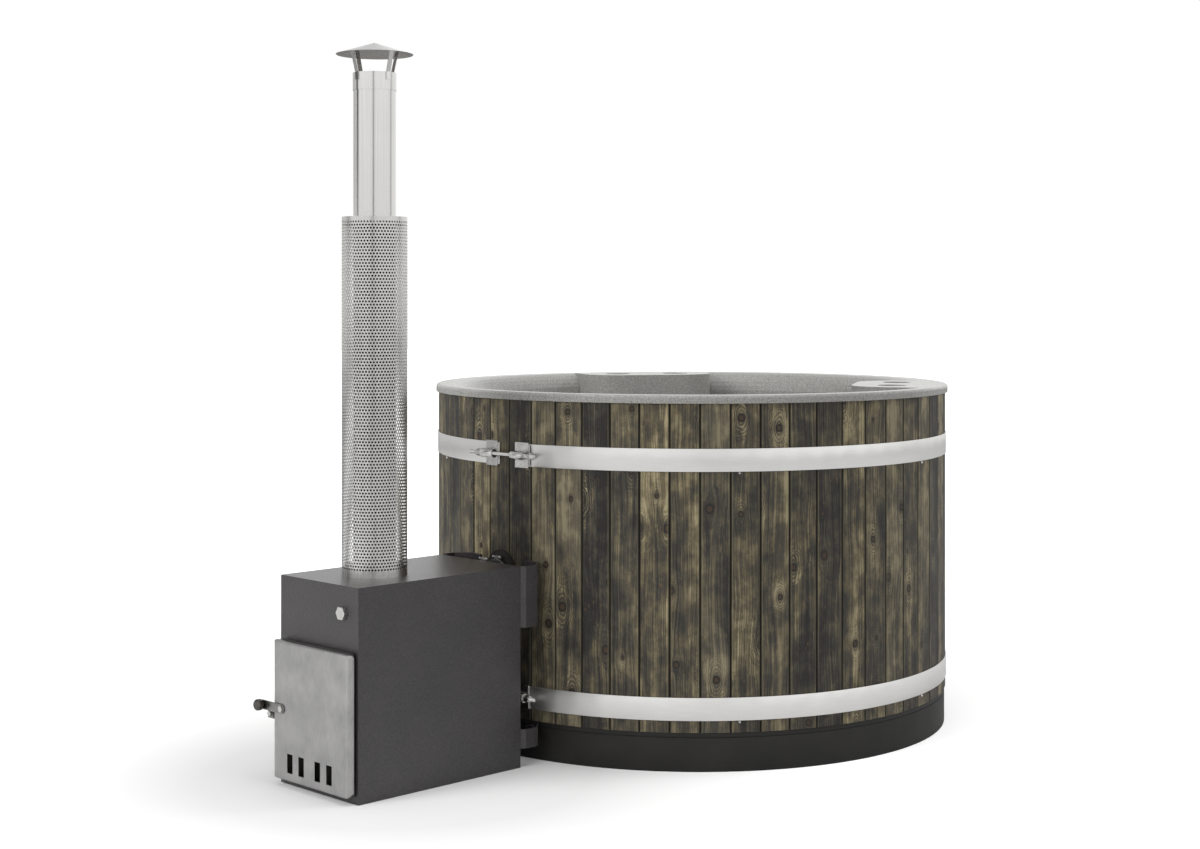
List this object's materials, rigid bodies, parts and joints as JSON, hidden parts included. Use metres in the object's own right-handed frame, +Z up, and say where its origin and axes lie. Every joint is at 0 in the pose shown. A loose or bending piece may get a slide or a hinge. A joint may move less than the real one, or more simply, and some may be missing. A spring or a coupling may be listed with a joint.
{
  "type": "wooden hot tub",
  "caption": "Round boarded hot tub with a moulded liner and steel straps, and an outside wood stove with a hinged door, latch, guarded flue and lift-off rain cap.",
  "frame": {"origin": "centre of the tub on the floor, on the flat underside of its pan", "axes": "+Z up, -Y from the tub towards the stove and its door, +X to the right seen from the stove's front"},
  "size_m": [1.541, 2.1653, 1.884],
  "materials": {
    "liner_plastic": "speckled moulded plastic, satin",
    "stained_boards": "dark stained spruce, open grain",
    "raw_timber": "planed, untreated",
    "black_plastic": "moulded, matt",
    "grey_plastic": "moulded, satin",
    "strap_steel": "rolled stainless strip",
    "bright_steel": "bright zinc and stainless",
    "stove_paint": "textured heat resistant paint",
    "sooted_steel": "sooted steel plate",
    "cast_grate": "as cast",
    "door_steel": "dull stainless sheet",
    "fire_board": "pressed mineral board",
    "rope_seal": "woven glass rope",
    "flue_steel": "rolled stainless sheet",
    "guard_steel": "perforated stainless sheet",
    "hose_rubber": "smooth black rubber"
  },
  "bodies": {
    "tub_and_stove": {"tub_liner": "liner_plastic", "hose_board": "stained_boards", "wall_boards": "stained_boards", "hoop_battens": "raw_timber", "base_pan": "black_plastic", "floor_bearers": "raw_timber", "upper_band": "strap_steel", "lower_band": "strap_steel", "upper_band_lugs": "bright_steel", "lower_band_lugs": "bright_steel", "upper_tension_rod": "bright_steel", "lower_tension_rod": "bright_steel", "tension_nuts": "bright_steel", "band_screws": "bright_steel", "stove_casing": "stove_paint", "jacket_plug": "bright_steel", "firebox": "sooted_steel", "fire_grate": "cast_grate", "smoke_baffle": "sooted_steel", "water_stubs": "stove_paint", "upper_stove_brackets": "stove_paint", "lower_stove_brackets": "stove_paint", "bracket_screws": "bright_steel", "hinge_goosenecks": "stove_paint", "latch_keeper": "bright_steel", "keeper_bolt": "bright_steel", "flue_pipe": "flue_steel", "heat_guard": "guard_steel", "guard_spacers": "flue_steel", "guard_screws": "bright_steel", "upper_wall_flange": "black_plastic", "lower_wall_flange": "black_plastic", "inlet_grilles": "grey_plastic", "upper_hose": "hose_rubber", "lower_hose": "hose_rubber", "hose_clamps": "bright_steel", "clamp_screws": "bright_steel", "drain_flange": "grey_plastic", "drain_pipe": "grey_plastic", "drain_cap": "black_plastic"},
    "door": {"stove_door": "door_steel", "door_lugs": "door_steel", "hinge_pins": "bright_steel", "door_inner_plate": "sooted_steel", "door_insulation": "fire_board", "door_gasket": "rope_seal", "latch_pivot": "bright_steel"},
    "latch": {"latch_handle": "bright_steel", "latch_grip": "bright_steel"},
    "rain_cap": {"cap_sleeve": "flue_steel", "cap_struts": "flue_steel", "cap_cone": "flue_steel"},
    "stopper": {"drain_stopper": "hose_rubber"}
  },
  "joints": [
    {"name": "door_hinge", "type": "hinge", "parent": "tub_and_stove", "child": "door", "pos_m": [0.143, -1.37, 0.1935], "axis": [0, 0, 1], "range_deg": [0, 110]},
    {"name": "latch_lift", "type": "hinge", "parent": "door", "child": "latch", "pos_m": [-0.117, -1.3868, 0.197], "axis": [0, 1, 0], "range_deg": [0, 75]},
    {"name": "cap_lift", "type": "slide", "parent": "tub_and_stove", "child": "rain_cap", "axis": [0, 0, 1], "range_m": [0, 0.08]},
    {"name": "stopper_lift", "type": "slide", "parent": "tub_and_stove", "child": "stopper", "axis": [0, 0, 1], "range_m": [0, 0.08]}
  ]
}
